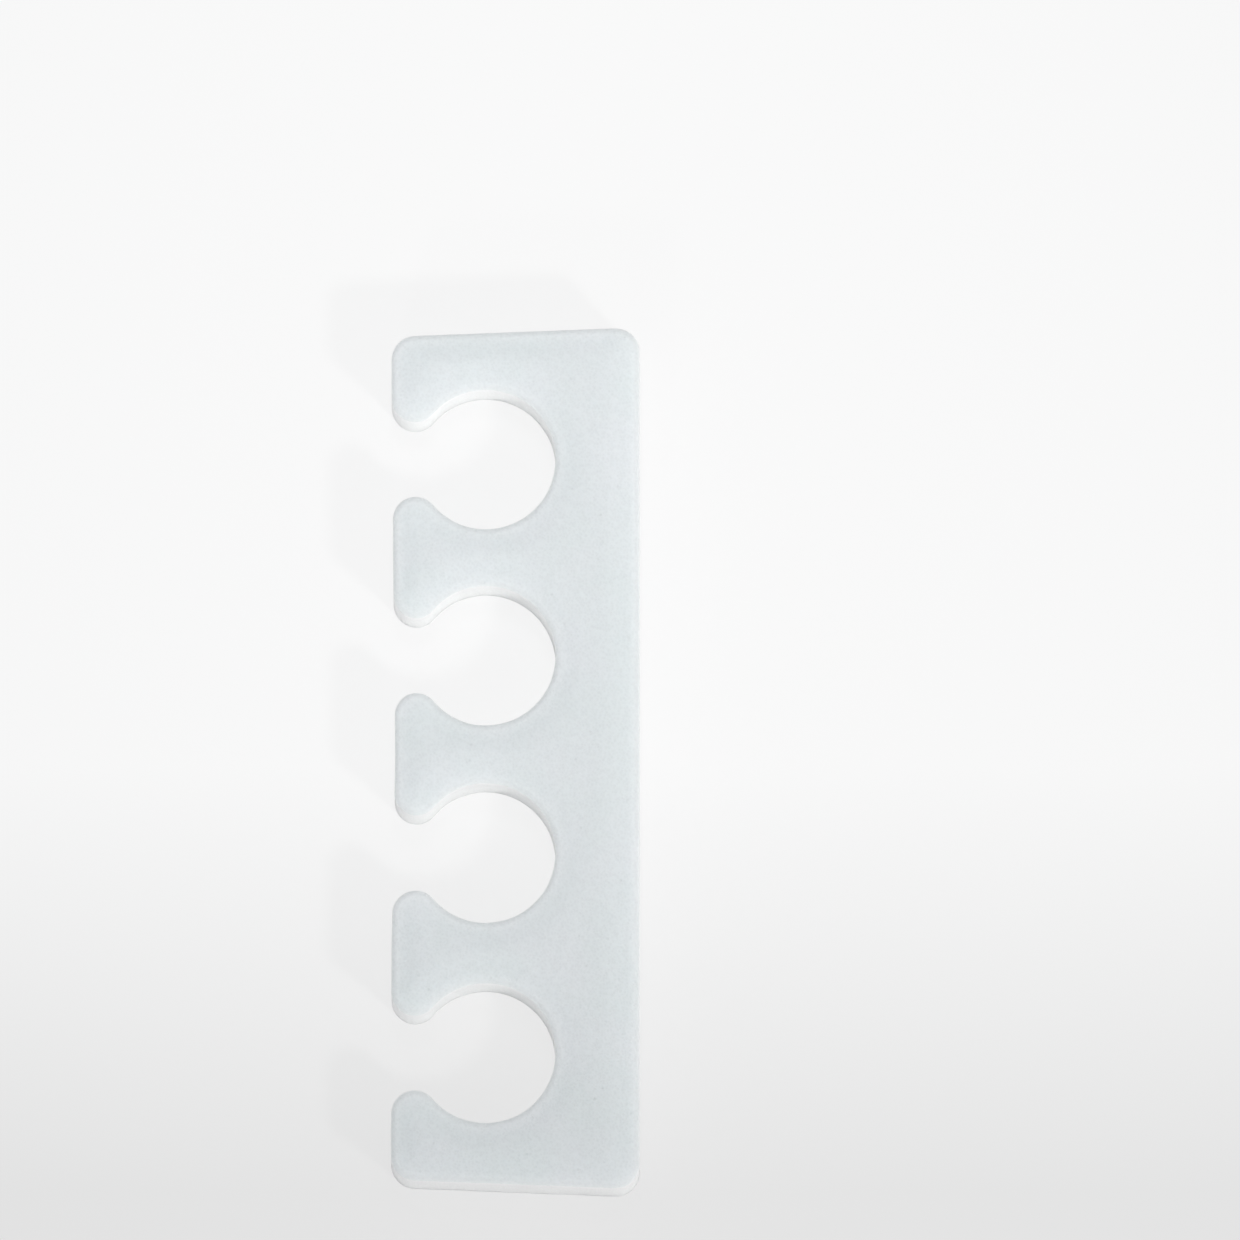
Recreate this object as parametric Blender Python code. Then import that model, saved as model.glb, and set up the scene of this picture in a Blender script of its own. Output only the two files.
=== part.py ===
"""A foam toe separator: one die-cut slab with round toe holes that open through one long edge.

Units are metres, +Z is up. The slab lies flat with its length along Y and its open edge towards -X,
and the origin is at the middle of its underside.
"""

from math import atan2, ceil, cos, pi, radians, sin, sqrt

import bpy

MM = 0.001

# Toe holes
HOLE_COUNT = 4
HOLE_DIAMETER = 16.3 * MM
MOUTH_WIDTH = 8.7 * MM  # between two finger tips, where a toe slips in
MOUTH_DEPTH = 2.9 * MM  # from a hole's edge to the slab's open edge

# Foam round the holes
FINGER_WIDTH = 7.0 * MM  # at its narrowest, between two holes
END_FINGER_WIDTH = 6.9 * MM  # at its narrowest, beyond the first and the last hole
SPINE_WIDTH = 9.9 * MM  # behind the holes
CORNER_RADIUS = 2.9 * MM  # the slab's four outer corners
END_TAPER = radians(2.2)  # each end slants, so that the slab is shorter along its open edge
THICKNESS = 10.0 * MM
EDGE_ROUNDING = 0.8 * MM  # the die presses the cut edges slightly round

# Smoothness
ARC_STEP = radians(8)
EDGE_STEPS = 2  # faces across each rounded edge

# Finish
FOAM_COLOUR = (0.745, 0.775, 0.799, 1.0)
FOAM_ROUGHNESS = 0.75

# What follows from the sizes above
HOLE_RADIUS = HOLE_DIAMETER / 2
PITCH = HOLE_DIAMETER + FINGER_WIDTH
WIDTH = SPINE_WIDTH + HOLE_DIAMETER + MOUTH_DEPTH
OPEN_EDGE_X = -WIDTH / 2
HOLE_X = OPEN_EDGE_X + MOUTH_DEPTH + HOLE_RADIUS
END_HOLE_Y = (HOLE_COUNT - 1) / 2 * PITCH


def clear_scene():
    """Remove whatever the scene holds, so that the script can be run again."""
    for obj in list(bpy.data.objects):
        bpy.data.objects.remove(obj, do_unlink=True)


def tip_radius():
    """Radius of the tip arc that is tangent to the open edge, to the mouth's side and to the hole.

    With reach the hole centre's depth and half the mouth's half width, the two circles touch where
    (HOLE_RADIUS + r)^2 = (reach - r)^2 + (half + r)^2, and this is the smaller root.
    """
    reach = MOUTH_DEPTH + HOLE_RADIUS
    half = MOUTH_WIDTH / 2
    middle = reach + HOLE_RADIUS - half
    rest = reach**2 + half**2 - HOLE_RADIUS**2
    return middle - sqrt(middle**2 - rest)


def arc(centre, radius, start, end):
    """Points along an arc, both ends included; it turns clockwise where end is below start."""
    steps = max(2, ceil(abs(end - start) / ARC_STEP))
    angles = [start + (end - start) * i / steps for i in range(steps + 1)]
    return [(centre[0] + radius * cos(a), centre[1] + radius * sin(a)) for a in angles]


def corner(side_x, side_y, start, end):
    """An outer corner's arc. side_x and side_y are 1 or -1 and say which corner.

    Its centre lies CORNER_RADIUS inside the end's slanting edge, which passes the end hole's arc at
    END_FINGER_WIDTH.
    """
    x = side_x * (WIDTH / 2 - CORNER_RADIUS)
    reach = HOLE_RADIUS + END_FINGER_WIDTH - CORNER_RADIUS
    y = END_HOLE_Y + (reach + (x - HOLE_X) * sin(END_TAPER)) / cos(END_TAPER)
    return arc((x, side_y * y), CORNER_RADIUS, start, end)


def toe_hole(hole_y):
    """One hole with its mouth: the upper finger's tip, the hole's arc and the lower finger's tip."""
    radius = tip_radius()
    tip_x = OPEN_EDGE_X + radius
    rise = MOUTH_WIDTH / 2 + radius
    meet = atan2(rise, HOLE_X - tip_x)  # slope of the line that joins a tip's centre to the hole's
    upper_tip = arc((tip_x, hole_y + rise), radius, pi, 2 * pi - meet)
    hole = arc((HOLE_X, hole_y), HOLE_RADIUS, pi - meet, meet - pi)
    lower_tip = arc((tip_x, hole_y - rise), radius, meet, pi)
    return upper_tip + hole[1:-1] + lower_tip


def outline():
    """The slab's closed outline, anticlockwise from the back edge's lower corner."""
    end_facing = pi / 2 + END_TAPER  # the way the +Y end's edge faces; the -Y end's is its mirror image
    points = corner(1, -1, -end_facing, 0) + corner(1, 1, 0, end_facing) + corner(-1, 1, end_facing, pi)
    for i in range(HOLE_COUNT):
        points += toe_hole(END_HOLE_Y - i * PITCH)
    return points + corner(-1, -1, -pi, -end_facing)


def foam_material():
    material = bpy.data.materials.new("closed_cell_foam")
    material.use_nodes = True
    shader = material.node_tree.nodes["Principled BSDF"]
    shader.inputs["Base Color"].default_value = FOAM_COLOUR
    shader.inputs["Roughness"].default_value = FOAM_ROUGHNESS
    shader.inputs["Metallic"].default_value = 0.0
    return material


def make_slab(collection):
    """The outline as a filled 2D curve, extruded to the slab's thickness with rounded edges."""
    curve = bpy.data.curves.new("toe_separator", "CURVE")
    curve.dimensions = "2D"
    curve.fill_mode = "BOTH"
    curve.extrude = THICKNESS / 2 - EDGE_ROUNDING
    curve.bevel_depth = EDGE_ROUNDING
    curve.bevel_resolution = EDGE_STEPS - 1
    curve.offset = -EDGE_ROUNDING
    spline = curve.splines.new("POLY")
    points = outline()
    spline.points.add(len(points) - 1)
    for point, (x, y) in zip(spline.points, points):
        point.co = (x, y, 0.0, 1.0)
    spline.use_cyclic_u = True
    spline.use_smooth = True
    slab = bpy.data.objects.new("toe_separator", curve)
    slab.location = (0.0, 0.0, THICKNESS / 2)
    slab.data.materials.append(foam_material())
    collection.objects.link(slab)


def main():
    clear_scene()
    collection = bpy.data.collections.new("Toe separator")
    bpy.context.scene.collection.children.link(collection)
    make_slab(collection)


main()
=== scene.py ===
"""Looks of the foam toe separator: the soft die-cut slab, a pale floor, studio light and a camera.

Sizes are in metres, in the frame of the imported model. The slab lies flat with its length along Y and
its toe holes open towards -X. The near end is the one at -Y.
"""

from math import atan2, ceil, cos, dist, exp, pi, radians, sin, sqrt, tan

import bmesh
import bpy
from mathutils import Matrix, Vector, geometry, kdtree, noise


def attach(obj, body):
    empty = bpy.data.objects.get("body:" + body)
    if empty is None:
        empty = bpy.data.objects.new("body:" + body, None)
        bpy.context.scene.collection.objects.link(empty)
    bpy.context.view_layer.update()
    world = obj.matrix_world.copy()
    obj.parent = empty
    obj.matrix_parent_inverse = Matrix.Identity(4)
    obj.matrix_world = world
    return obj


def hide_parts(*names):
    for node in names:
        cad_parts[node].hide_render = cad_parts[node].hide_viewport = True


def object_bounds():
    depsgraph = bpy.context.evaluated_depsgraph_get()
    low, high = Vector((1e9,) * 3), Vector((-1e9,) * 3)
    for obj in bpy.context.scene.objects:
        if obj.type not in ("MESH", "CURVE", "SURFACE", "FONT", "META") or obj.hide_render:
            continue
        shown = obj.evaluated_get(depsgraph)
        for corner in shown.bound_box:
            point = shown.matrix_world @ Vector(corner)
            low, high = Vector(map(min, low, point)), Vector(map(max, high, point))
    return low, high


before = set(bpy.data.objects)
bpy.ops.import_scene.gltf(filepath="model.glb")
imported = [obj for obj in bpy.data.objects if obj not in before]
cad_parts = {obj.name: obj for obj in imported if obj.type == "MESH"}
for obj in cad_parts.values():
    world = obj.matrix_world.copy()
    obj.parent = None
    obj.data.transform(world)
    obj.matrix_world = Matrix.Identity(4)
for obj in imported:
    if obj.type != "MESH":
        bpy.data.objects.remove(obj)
CAD_LOW, CAD_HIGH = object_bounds()

MM = 0.001

# The slab's outline, as it is cut
HOLE_RADIUS = 8.15 * MM
MOUTH_WIDTH = 8.7 * MM
MOUTH_DEPTH = 2.9 * MM
FINGER_WIDTH = 7.0 * MM
CORNER_RADIUS = 2.9 * MM
END_TAPER = radians(2.2)
LENGTH = CAD_HIGH.y - CAD_LOW.y
WIDTH = CAD_HIGH.x - CAD_LOW.x
THICKNESS = CAD_HIGH.z - CAD_LOW.z
PITCH = 2 * HOLE_RADIUS + FINGER_WIDTH
OPEN_EDGE_X = CAD_LOW.x
HOLE_X = OPEN_EDGE_X + MOUTH_DEPTH + HOLE_RADIUS

# How the soft slab lies a little out of true, from its far end to its near one: each hole's shift
# towards the far end, and how far each finger's tip is pushed back
HOLE_DRIFT = (0.14 * MM, 0.35 * MM, 0.45 * MM, 0.26 * MM)
FINGER_LEAN = (0.0, 0.22 * MM, 0.48 * MM, 0.06 * MM, 0.0)

# The cut wall and the rounded edges. Each rounding is (across, down), and each dip is how far the face
# sinks towards its edge and over what distance.
TOP_ROUNDING = (0.75 * MM, 0.5 * MM)  # the die draws the upper edge into a soft roll
UNDER_ROUNDING = (0.10 * MM, 0.10 * MM)
ROUNDING_STEPS = 8
WALL_HOLLOW = 0.15 * MM  # the squeezed foam springs back and leaves the wall slightly hollow
WALL_STEPS = 14
TOP_DIP = (0.42 * MM, 1.9 * MM)
UNDER_DIP = (0.05 * MM, 1.0 * MM)
CUT_FADE = 12  # power by which the cut wall's looks fade out round an edge

# Mesh spacing
ARC_STEP = radians(4)
RUN_STEP = 0.7 * MM
FACE_SPACING = 0.7 * MM
RIM_GAP = 0.6 * FACE_SPACING  # no inner point of a face lies nearer to its rim
SAME_POINT = 1e-7  # points nearer together than this are taken as one
INSIDE_ONLY = 1  # the kind of triangle filling that stays inside the rim

# Unevenness of the foam, as (height, width) of its swells
FACE_SWELL = (0.04 * MM, 9 * MM)
WALL_SWELL = (0.09 * MM, 5 * MM)

# Foam cells, bubbles, drag lines and patches. The limits are shares of a cell's or a bubble's
# spacing, measured from its middle: hollow up to the first and flat from the second on.
CELL_SIZE = 0.34 * MM
CELL_LIMITS = (0.15, 0.65)
BUBBLE_SPACING = 1.6 * MM  # larger bubbles among the cells, here and there
BUBBLE_LIMITS = (0.05, 0.14)
BUBBLE_CHANCE = (0.45, 0.65)  # the random values from which a bubble begins to show and shows fully
BUBBLE_DEPTH = 1.5  # in depths of a cell
STREAK_WIDTH = 0.20 * MM
STREAK_SLIMNESS = 0.05  # a drag line's width as a share of its length
PATCH_SIZE = 9 * MM
NOISE_SPAN = (0.3, 0.7)  # where nearly all of a noise's values lie
PATCH_SPAN = (0.35, 0.65)  # narrower, for clearer patches

# Foam colours, from patch to patch, and the factors for painted shade, cell tone and drag lines
SLICED_COLOURS = ((0.744, 0.780, 0.789, 1), (0.762, 0.787, 0.803, 1))
# the cut walls are whiter: partly their own colour and partly painted light that brightens the walls
CUT_COLOURS_WITH_PAINTED_LIGHT = ((0.955, 0.967, 0.964, 1), (0.963, 0.972, 0.972, 1))
UNSHADED = (1, 1, 1, 1)
CELL_PAINTED_SHADES = (1.01, 0.97)  # painted shade: the colour's factor at a cell's skin and in its darker hollow
# painted shade in the opened bubbles
BUBBLE_PAINTED_SHADE = 0.94
TONE_SHADES = (0.99, 1.01)  # from cell to cell
STREAK_SHADES = (0.975, 1.01)
PAINTED_EDGE_SHADE = 0.93  # painted shade: the colour along the rounded edges is darkened to this factor at their middle

# Foam finish
BUMP_STRENGTH = 0.5
BUMP_HEIGHT = 0.05 * MM
ROUGHNESS = (0.55, 0.72)
ROUGHNESS_GRAIN = 3 * CELL_SIZE
SPECULAR_LEVEL = 0.3
LIGHT_SHARE = 0.9  # share of the light that travels inside the foam
LIGHT_REACH = 3.0 * MM  # how far it travels before it comes out again

# Where the picture was taken from
IMAGE_SIZE = 1240
PIXELS_PER_METRE = 8560
TOP_CENTRE_PIXEL = (515.5, 757.0)  # the middle of the slab's upper face
CAMERA_ELEVATION = radians(83.3)
CAMERA_DISTANCE = 5.0
SENSOR_WIDTH = 36.0

# Light. Each lamp has its colour, the share of a white surface's full brightness that it gives where
# it falls squarely, the azimuth and elevation of the way to it, in degrees, and how far along the
# slab from its brightest place its beam has faded out.
KEY = ((1.0, 0.992, 0.975), 0.37, -48, 40, 0.26)
FILL = ((0.99, 0.995, 1.0), 0.12, -105, 30, 0.15)
TOP = ((0.98, 0.99, 1.0), 0.165, 90, 80, 0.15)
WORLD_COLOUR = (0.98, 0.99, 1.0, 1.0)
WORLD_SHARE = 0.59
LAMP_DISTANCE = 0.8
LAMP_RADIUS = 0.05
LAMP_AIM = Vector((0, 0.08, THICKNESS))  # the beams are brightest here, beyond the far end
DIFFUSE_BOUNCES = 12  # pale foam on a pale floor passes light on many times

# Floor
FLOOR_Z = CAD_LOW.z - 0.02 * MM
FLOOR_SIZE = 4.0
FLOOR_PAPER = (0.97, 0.97, 0.97, 1.0)
FLOOR_ROUGHNESS = 0.9
FLOOR_SHADED_NEAR = (0.77, 0.77, 0.77, 1)  # the pale colour it shows towards the near end, darkened there with painted shade, and towards the far one
FLOOR_FAR = (0.94, 0.94, 0.94, 1)
FLOOR_SHADE_CHANGE = (-0.05, 0.0)  # Y where the near colour ends and where the far one begins
FLOOR_GLOW = 0.85  # share of that colour in what shows of the floor; the rest is light and shadow


def tip_radius():
    """Radius r of a finger's tip: tangent to the open edge, to the mouth's side and to the hole.

    The three conditions together give r**2 - 2 * middle * r + rest = 0, and the tip is the smaller root.
    """
    reach = MOUTH_DEPTH + HOLE_RADIUS
    half = MOUTH_WIDTH / 2
    middle = reach + HOLE_RADIUS - half
    rest = reach**2 + half**2 - HOLE_RADIUS**2
    return middle - sqrt(middle**2 - rest)


def arc(centre, radius, start, end):
    """Points along an arc from one angle to the other, with both ends."""
    steps = max(2, ceil(abs(end - start) / ARC_STEP))
    angles = [start + (end - start) * i / steps for i in range(steps + 1)]
    return [(centre[0] + radius * cos(a), centre[1] + radius * sin(a)) for a in angles]


def corner(side_x, side_y, start, end, inset):
    """An outer corner's arc. The slanting ends bring the two at the open edge nearer together."""
    x = side_x * (WIDTH / 2 - CORNER_RADIUS)
    y = LENGTH / 2 - CORNER_RADIUS - (WIDTH / 2 - CORNER_RADIUS - x) * tan(END_TAPER)
    return arc((x, side_y * y), CORNER_RADIUS - inset, start, end)


def toe_hole(hole_y, inset):
    """The three arcs of a toe hole: the far finger's tip, the hole and the near finger's tip."""
    radius = tip_radius()
    tip_x = OPEN_EDGE_X + radius
    rise = MOUTH_WIDTH / 2 + radius
    meet = atan2(rise, HOLE_X - tip_x)
    return [
        arc((tip_x, hole_y + rise), radius - inset, pi, 2 * pi - meet),
        arc((HOLE_X, hole_y), HOLE_RADIUS + inset, pi - meet, meet - pi),
        arc((tip_x, hole_y - rise), radius - inset, meet, pi),
    ]


def joined(arcs):
    """The arcs as one closed line, with points along the straight runs between them."""
    points = []
    for this, following in zip(arcs, arcs[1:] + arcs[:1]):
        points += this[:-1]
        (ax, ay), (bx, by) = this[-1], following[0]
        steps = round(dist(this[-1], following[0]) / RUN_STEP)
        points += [(ax + (bx - ax) * i / steps, ay + (by - ay) * i / steps) for i in range(steps)]
    return points


def leaned(point):
    """A point of the outline after the soft fingers have been pushed back, most at their tips."""
    x, y = point
    last = len(FINGER_LEAN) - 1.001  # just short of the last finger, so that there is always a next one
    place = min(max((len(FINGER_LEAN) - 1) / 2 - y / PITCH, 0.0), last)
    before = int(place)
    push = FINGER_LEAN[before] + (FINGER_LEAN[before + 1] - FINGER_LEAN[before]) * (place - before)
    share = max(0.0, (HOLE_X - x) / (HOLE_X - OPEN_EDGE_X))
    return x + push * share**2, y


def outline(inset):
    """The slab's outline moved inwards by inset, anticlockwise from the back edge's near corner."""
    facing = pi / 2 + END_TAPER
    arcs = [
        corner(1, -1, -facing, 0, inset),
        corner(1, 1, 0, facing, inset),
        corner(-1, 1, facing, pi, inset),
    ]
    middle = (len(HOLE_DRIFT) - 1) / 2
    for i, drift in enumerate(HOLE_DRIFT):
        arcs += toe_hole((middle - i) * PITCH + drift, inset)
    line = joined(arcs + [corner(-1, -1, -pi, -facing, inset)])
    return [leaned(point) for point in line]


def wall_profile():
    """(inset, height, cut, pressed) up the wall.

    cut is 0 on a sliced face and 1 on the die-cut wall. The fourth value is 1 at the middle of a rounded
    edge and masks the painted shade there.
    """
    turn = [pi / 2 * i / ROUNDING_STEPS for i in range(ROUNDING_STEPS + 1)]
    under_in, under_up = UNDER_ROUNDING
    top_in, top_down = TOP_ROUNDING
    under_face = UNDER_DIP[0]
    top_face = THICKNESS - TOP_DIP[0]
    lower, upper = [], []
    for a in turn:
        under_z = under_face + under_up * (1 - cos(a))
        top_z = top_face - top_down * (1 - sin(a))
        lower.append((under_in * (1 - sin(a)), under_z, sin(a) ** CUT_FADE, sin(2 * a)))
        upper.append((top_in * (1 - cos(a)), top_z, cos(a) ** CUT_FADE, sin(2 * a)))
    low, high = lower[-1][1], upper[0][1]
    shares = [i / WALL_STEPS for i in range(1, WALL_STEPS)]
    wall = [(WALL_HOLLOW * (1 - (2 * s - 1) ** 2), low + (high - low) * s, 1.0, 0.0) for s in shares]
    return lower + wall + upper


def ring_tree(ring):
    """A search tree for the point of a ring that is nearest to a place."""
    tree = kdtree.KDTree(len(ring))
    for i, (x, y) in enumerate(ring):
        tree.insert((x, y, 0), i)
    tree.balance()
    return tree


def face_mesh(ring, tree):
    """(points, triangles) that fill a ring: its own points first, then an even spread of points.

    The spread covers the slab's whole box. Its points outside the ring are in no triangle.
    """
    points = [Vector(p) for p in ring]
    row_step = FACE_SPACING * sqrt(3) / 2
    for row in range(ceil(LENGTH / row_step)):
        y = CAD_LOW.y + row * row_step
        for column in range(ceil(WIDTH / FACE_SPACING)):
            x = CAD_LOW.x + (column + row % 2 / 2) * FACE_SPACING
            if tree.find((x, y, 0))[2] > RIM_GAP:
                points.append(Vector((x, y)))
    rim = [list(range(len(ring)))]
    filled = geometry.delaunay_2d_cdt(points, [], rim, INSIDE_ONLY, SAME_POINT)
    return filled[0], filled[2]


def fill_face(bm, ring, dip, outwards):
    """Close one end of the wall with a face that sinks a little towards its edge."""
    depth, reach = dip
    line = [v.co.xy for v in ring]
    tree = ring_tree(line)
    points, triangles = face_mesh(line, tree)
    inner = []
    for x, y in points[len(ring):]:
        from_edge = tree.find((x, y, 0))[2]
        rise = depth * (1 - exp(-((from_edge / reach) ** 2)))
        inner.append(bm.verts.new((x, y, ring[0].co.z + outwards * rise)))
    verts = ring + inner
    for triangle in triangles:
        bm.faces.new([verts[i] for i in triangle])


def slab_mesh():
    """The closed slab: rings of quads up the wall and a filled face at each end."""
    bm = bmesh.new()
    cut_layer = bm.verts.layers.float.new("cut")
    # mask of the painted shade along the rounded edges
    painted_edge_shade_layer = bm.verts.layers.float.new("painted_edge_shade")
    rings = []
    for inset, z, cut, painted_edge_shade in wall_profile():
        ring = [bm.verts.new((x, y, z)) for x, y in outline(inset)]
        for vert in ring:
            vert[cut_layer] = cut
            vert[painted_edge_shade_layer] = painted_edge_shade
        rings.append(ring)
    for below, above in zip(rings, rings[1:]):
        for i in range(len(below)):
            j = (i + 1) % len(below)
            bm.faces.new((below[i], below[j], above[j], above[i]))
    fill_face(bm, rings[0], UNDER_DIP, -1)
    fill_face(bm, rings[-1], TOP_DIP, 1)
    bmesh.ops.delete(bm, geom=[v for v in bm.verts if not v.link_faces], context="VERTS")
    bmesh.ops.recalc_face_normals(bm, faces=bm.faces)
    bm.normal_update()
    return bm


def swell(point, size):
    """How far the surface sinks at a point, for a swell of the given (height, width)."""
    height, width = size
    return height * abs(noise.noise(point / width))


def soften(bm):
    """Give the faces and the walls the slight unevenness of real foam, always inwards."""
    for vert in bm.verts:
        level = abs(vert.normal.z)
        depth = swell(vert.co, WALL_SWELL) * (1 - level) + swell(vert.co, FACE_SWELL) * level
        vert.co -= vert.normal * depth


def make_slab():
    """The foam slab as one closed mesh, shaded smooth."""
    bm = slab_mesh()
    soften(bm)
    mesh = bpy.data.meshes.new("foam_slab")
    bm.to_mesh(mesh)
    bm.free()
    mesh.shade_smooth()
    slab = bpy.data.objects.new("foam_slab", mesh)
    bpy.context.scene.collection.objects.link(slab)
    return slab


def add(tree, kind, inputs, **settings):
    """A new shader node. Its inputs are values or other nodes' outputs, by name or by number."""
    made = tree.nodes.new("ShaderNode" + kind)
    for name, value in settings.items():
        setattr(made, name, value)
    for name, value in inputs.items():
        if isinstance(value, bpy.types.NodeSocket):
            tree.links.new(value, made.inputs[name])
        else:
            made.inputs[name].default_value = value
    return made


def ranged(tree, value, span, to):
    """The value with the two ends of its span brought to the two values of to, and held there."""
    inputs = {"Value": value, "From Min": span[0], "From Max": span[1], "To Min": to[0], "To Max": to[1]}
    return add(tree, "MapRange", inputs).outputs[0]


def shade_of(tree, share, at_none, at_full):
    """A factor that goes from at_none to at_full as a share goes from 0 to 1."""
    return ranged(tree, share, (0.0, 1.0), (at_none, at_full))


def between(tree, share, first, second):
    """A colour from the first to the second by a share of 0 to 1.

    The Mix node takes its two colours at sockets 6 and 7, and gives the mixed one at socket 2.
    """
    return add(tree, "Mix", {0: share, 6: first, 7: second}, data_type="RGBA").outputs[2]


def calc(tree, operation, first, second):
    """The result of a Math node."""
    return add(tree, "Math", {0: first, 1: second}, operation=operation).outputs[0]


def grain(tree, place, size, detail=2.0):
    """Noise with a grain of the given size."""
    inputs = {"Vector": place, "Scale": 1 / size, "Detail": detail, "Roughness": 0.55}
    return add(tree, "TexNoise", inputs).outputs["Fac"]


def foam_cells(tree, place):
    """(hollow, tone): how deep in a cell a point lies, from 1 to 0 at its skin, and the cell's tone."""
    cells = add(tree, "TexVoronoi", {"Vector": place, "Scale": 1 / CELL_SIZE})
    tone = add(tree, "SeparateColor", {0: cells.outputs["Color"]}).outputs[0]
    return ranged(tree, cells.outputs["Distance"], CELL_LIMITS, (1.0, 0.0)), tone


def foam_bubbles(tree, place):
    """1 in the few bubbles that the cut has opened, and 0 elsewhere."""
    bubbles = add(tree, "TexVoronoi", {"Vector": place, "Scale": 1 / BUBBLE_SPACING})
    opened = ranged(tree, bubbles.outputs["Distance"], BUBBLE_LIMITS, (1.0, 0.0))
    chance = add(tree, "SeparateColor", {0: bubbles.outputs["Color"]}).outputs[1]
    return calc(tree, "MULTIPLY", opened, ranged(tree, chance, BUBBLE_CHANCE, (0.0, 1.0)))


def drag_lines(tree, place):
    """Fine lines down the cut walls, where the die dragged the foam."""
    drawn_out = add(tree, "Mapping", {"Vector": place, "Scale": (1.0, 1.0, STREAK_SLIMNESS)}).outputs[0]
    return grain(tree, drawn_out, STREAK_WIDTH, detail=3.0)


def foam_colour(tree, place, cut, hollow, tone, bubbles, streaks):
    """Pale blue faces and whiter cut walls, partly painted light; painted shade in the pits and along
    the edges.
    """
    patches = ranged(tree, grain(tree, place, PATCH_SIZE), PATCH_SPAN, (0.0, 1.0))
    face = between(tree, patches, *SLICED_COLOURS)
    # whiter on the cut walls, partly painted light
    wall = between(tree, patches, *CUT_COLOURS_WITH_PAINTED_LIGHT)
    # painted shade along the rounded edges, by the mask that the mesh carries
    painted_edge_shade = add(tree, "Attribute", {}, attribute_name="painted_edge_shade").outputs["Fac"]
    # painted shade in the cell hollows and the opened bubbles
    shade = shade_of(tree, hollow, *CELL_PAINTED_SHADES)
    shade = calc(tree, "MULTIPLY", shade, shade_of(tree, bubbles, 1.0, BUBBLE_PAINTED_SHADE))
    shade = calc(tree, "MULTIPLY", shade, shade_of(tree, tone, *TONE_SHADES))
    shade = calc(tree, "MULTIPLY", shade, shade_of(tree, painted_edge_shade, 1.0, PAINTED_EDGE_SHADE))
    lines = between(tree, cut, UNSHADED, ranged(tree, streaks, NOISE_SPAN, STREAK_SHADES))
    foam = between(tree, cut, face, wall)
    shaded = add(tree, "VectorMath", {0: foam, "Scale": shade}, operation="SCALE").outputs[0]
    return add(tree, "VectorMath", {0: shaded, 1: lines}, operation="MULTIPLY").outputs[0]


def foam_height(tree, cut, hollow, bubbles, streaks):
    """Height of the surface: opened cells and bubbles everywhere, and drag lines down the cut walls."""
    pits = calc(tree, "ADD", hollow, calc(tree, "MULTIPLY", bubbles, BUBBLE_DEPTH))
    lines = calc(tree, "MULTIPLY", cut, streaks)
    return calc(tree, "SUBTRACT", lines, pits)


def foam_material():
    """Closed-cell foam: almost matt, and soft with the light that travels inside it."""
    material = bpy.data.materials.new("closed_cell_foam")
    material.use_nodes = True
    tree = material.node_tree
    shader = tree.nodes["Principled BSDF"]
    place = add(tree, "TexCoord", {}).outputs["Object"]
    cut = add(tree, "Attribute", {}, attribute_name="cut").outputs["Fac"]
    hollow, tone = foam_cells(tree, place)
    bubbles = foam_bubbles(tree, place)
    streaks = drag_lines(tree, place)
    height = foam_height(tree, cut, hollow, bubbles, streaks)
    bump = add(tree, "Bump", {"Height": height, "Strength": BUMP_STRENGTH, "Distance": BUMP_HEIGHT})
    rough = ranged(tree, grain(tree, place, ROUGHNESS_GRAIN), NOISE_SPAN, ROUGHNESS)
    colour = foam_colour(tree, place, cut, hollow, tone, bubbles, streaks)
    tree.links.new(colour, shader.inputs["Base Color"])
    tree.links.new(rough, shader.inputs["Roughness"])
    tree.links.new(bump.outputs[0], shader.inputs["Normal"])
    shader.inputs["Specular IOR Level"].default_value = SPECULAR_LEVEL
    shader.inputs["Subsurface Weight"].default_value = LIGHT_SHARE
    shader.inputs["Subsurface Radius"].default_value = (1.0, 1.0, 1.0)
    shader.inputs["Subsurface Scale"].default_value = LIGHT_REACH
    return material


def floor_material():
    """Matt white paper: the camera and reflections see mostly a pale colour, with painted shade at the
    near end.
    """
    material = bpy.data.materials.new("floor")
    material.use_nodes = True
    tree = material.node_tree
    shader = tree.nodes["Principled BSDF"]
    shader.inputs["Base Color"].default_value = FLOOR_PAPER
    shader.inputs["Roughness"].default_value = FLOOR_ROUGHNESS
    shader.inputs["Specular IOR Level"].default_value = 0.0
    place = add(tree, "TexCoord", {}).outputs["Object"]
    along = add(tree, "SeparateXYZ", {0: place}).outputs["Y"]
    share = ranged(tree, along, FLOOR_SHADE_CHANGE, (0.0, 1.0))
    # the pale colour, darker towards the near end as painted shade
    pale = add(tree, "Emission", {"Color": between(tree, share, FLOOR_SHADED_NEAR, FLOOR_FAR)})
    ray = add(tree, "LightPath", {}).outputs
    mirrored = calc(tree, "MAXIMUM", ray["Is Glossy Ray"], ray["Is Transmission Ray"])
    glow = calc(tree, "MULTIPLY", calc(tree, "MAXIMUM", ray["Is Camera Ray"], mirrored), FLOOR_GLOW)
    mix = add(tree, "MixShader", {0: glow, 1: shader.outputs[0], 2: pale.outputs[0]})
    tree.links.new(mix.outputs[0], tree.nodes["Material Output"].inputs["Surface"])
    return material


def make_floor():
    """The pale floor, just below the slab."""
    bpy.ops.mesh.primitive_plane_add(size=FLOOR_SIZE, location=(0, 0, FLOOR_Z))
    floor = bpy.context.object
    floor.name = "floor"
    floor.data.materials.append(floor_material())


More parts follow.
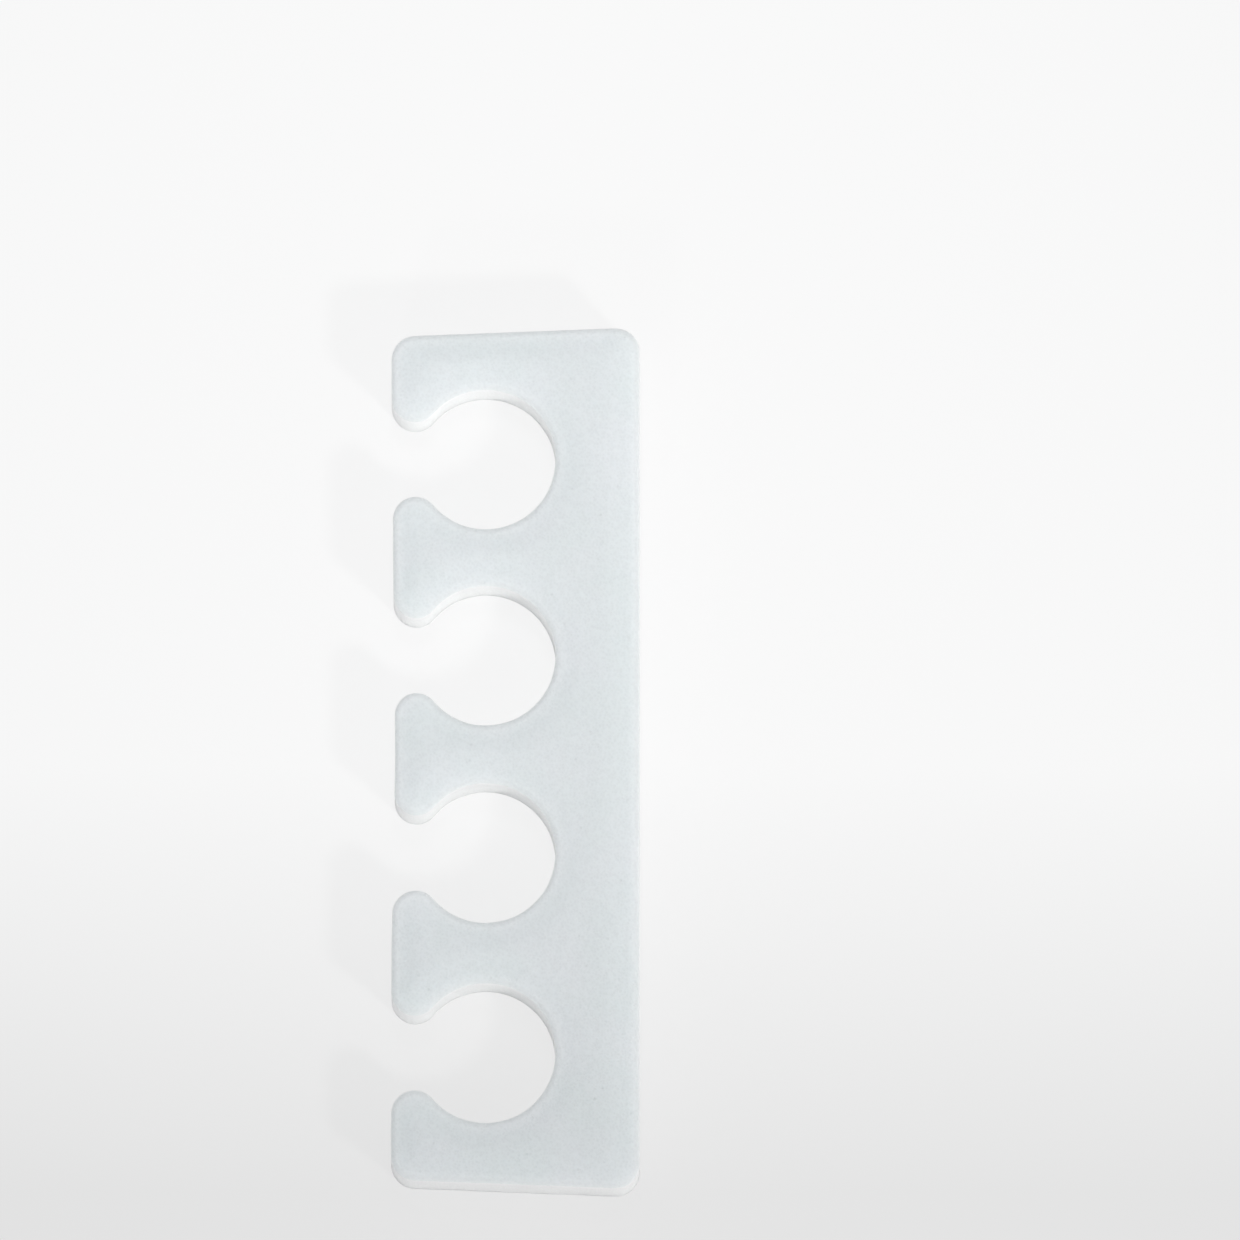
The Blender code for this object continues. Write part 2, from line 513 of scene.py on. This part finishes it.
def make_lamp(name, setting):
    """A soft round lamp whose beam fades out evenly towards the near end."""
    colour, share, azimuth, elevation, fade = setting
    around = Matrix.Rotation(radians(azimuth), 3, "Z") @ Matrix.Rotation(-radians(elevation), 3, "Y")
    away = around @ Vector((1, 0, 0))
    reach = fade * sqrt(1 - away.y**2)  # the fade length as it is seen from the lamp
    light = bpy.data.lights.new(name, "SPOT")
    light.spot_size = 2 * atan2(reach, LAMP_DISTANCE)
    light.spot_blend = 1.0
    light.shadow_soft_size = LAMP_RADIUS
    light.energy = share * 4 * pi**2 * LAMP_DISTANCE**2  # the watts that light white to that share
    light.color = colour
    lamp = bpy.data.objects.new(name, light)
    lamp.location = LAMP_AIM + away * LAMP_DISTANCE
    lamp.rotation_euler = away.to_track_quat("Z", "Y").to_euler()
    bpy.context.scene.collection.objects.link(lamp)


def world_light():
    """Even light from all round."""
    world = bpy.data.worlds.new("studio")
    world.use_nodes = True
    background = world.node_tree.nodes["Background"]
    background.inputs["Color"].default_value = WORLD_COLOUR
    background.inputs["Strength"].default_value = WORLD_SHARE
    bpy.context.scene.world = world


def make_camera():
    """Looks almost straight down, with the slab where the picture's pixels have it."""
    middle = IMAGE_SIZE / 2
    across = (middle - TOP_CENTRE_PIXEL[0]) / PIXELS_PER_METRE
    along = (TOP_CENTRE_PIXEL[1] - middle) / PIXELS_PER_METRE / sin(CAMERA_ELEVATION)
    target = Vector((across, along, CAD_HIGH.z))
    back = Vector((0, -cos(CAMERA_ELEVATION), sin(CAMERA_ELEVATION)))
    data = bpy.data.cameras.new("camera")
    data.sensor_width = SENSOR_WIDTH
    data.lens = SENSOR_WIDTH * CAMERA_DISTANCE * PIXELS_PER_METRE / IMAGE_SIZE
    camera = bpy.data.objects.new("camera", data)
    camera.location = target + back * CAMERA_DISTANCE
    camera.rotation_euler = (pi / 2 - CAMERA_ELEVATION, 0, 0)
    bpy.context.scene.collection.objects.link(camera)
    bpy.context.scene.camera = camera


slab = make_slab()
slab.data.materials.append(foam_material())
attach(slab, "root")
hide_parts("toe_separator")

make_floor()
make_lamp("key", KEY)
make_lamp("fill", FILL)
make_lamp("top", TOP)
world_light()
make_camera()
bpy.context.scene.cycles.diffuse_bounces = DIFFUSE_BOUNCES
bpy.context.scene.view_settings.view_transform = "Standard"
